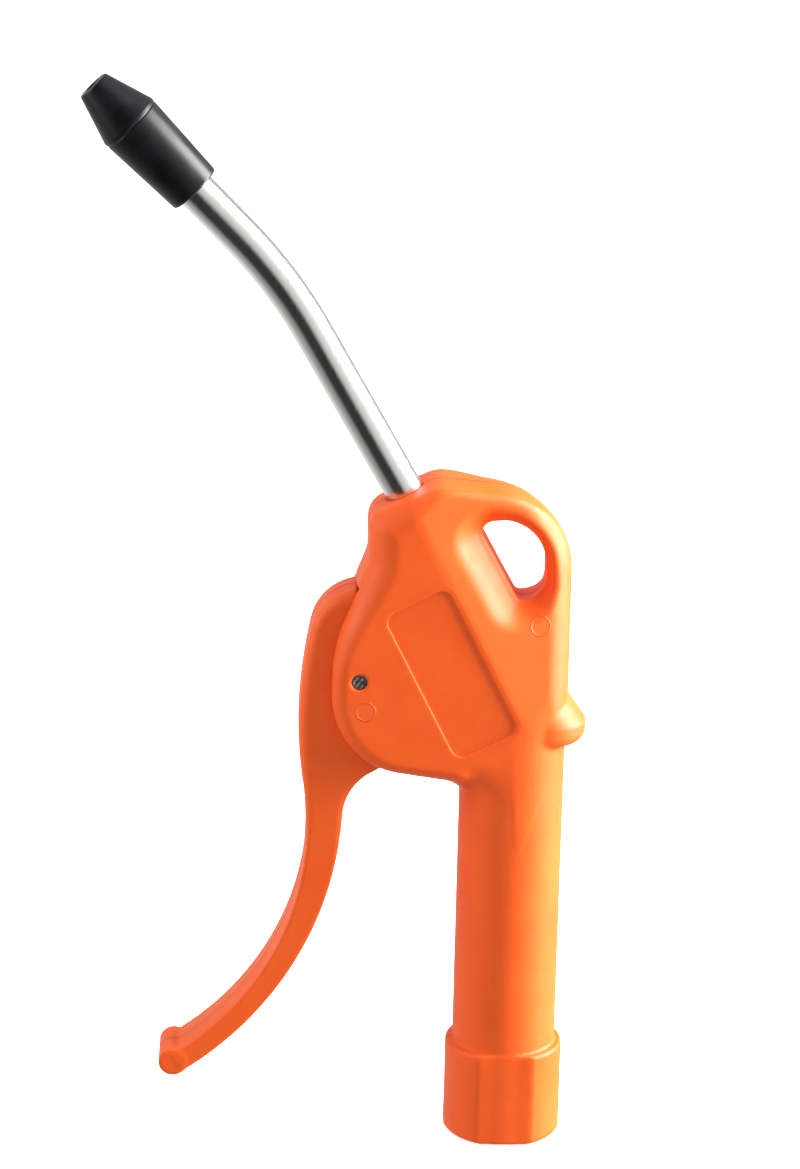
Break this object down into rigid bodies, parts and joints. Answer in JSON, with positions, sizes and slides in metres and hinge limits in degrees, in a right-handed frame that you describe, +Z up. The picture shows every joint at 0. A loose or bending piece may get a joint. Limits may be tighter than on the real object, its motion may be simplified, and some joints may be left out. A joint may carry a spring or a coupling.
{
  "type": "air blow gun",
  "caption": "Hand-held compressed-air blow gun: one-piece moulded grip with hanging eye, squeeze lever on a push valve, bent nozzle tube with rubber tip, threaded inlet.",
  "frame": {"origin": "centre of the inlet's end face, on the handle's axis", "axes": "+Z up the handle towards the nozzle, -X towards the lever, +X the back of the grip, Y across, with Y = 0 the mould's parting plane"},
  "size_m": [0.1053, 0.0222, 0.228],
  "materials": {
    "orange_nylon": "satin moulded nylon",
    "chromed_tube": "polished along its length",
    "black_rubber": "smooth moulded",
    "nitrile": "matt",
    "brass": "turned",
    "steel": "drawn wire and ground pin"
  },
  "bodies": {
    "gun_body": {"body": "orange_nylon", "inlet_insert": "brass", "valve_sleeve": "brass", "sleeve_o_ring_front": "nitrile", "sleeve_o_ring_rear": "nitrile", "valve_gland_nut": "brass", "tube_bush": "brass", "tube_o_ring": "nitrile", "nozzle_tube": "chromed_tube", "rubber_tip": "black_rubber", "lever_pivot_pin": "steel", "valve_spring": "steel"},
    "lever": {"trigger_lever": "orange_nylon"},
    "stem": {"valve_stem": "brass", "poppet_seal": "nitrile", "stem_o_ring": "nitrile"}
  },
  "joints": [
    {"name": "lever_squeeze", "type": "hinge", "parent": "gun_body", "child": "lever", "pos_m": [-0.03272, 0, 0.10438], "axis": [0, -1, 0], "range_deg": [0, 15], "stiffness_Nm_per_rad": 1.5, "springref_deg": -22.92},
    {"name": "stem_push", "type": "slide", "parent": "gun_body", "child": "stem", "axis": [0.866, 0, 0.5], "range_m": [0, 0.0036], "deforming": ["valve_spring"]}
  ],
  "couplings": [
    {"joint": "stem_push", "follows": "lever_squeeze", "m_per_rad": 0.0131}
  ]
}
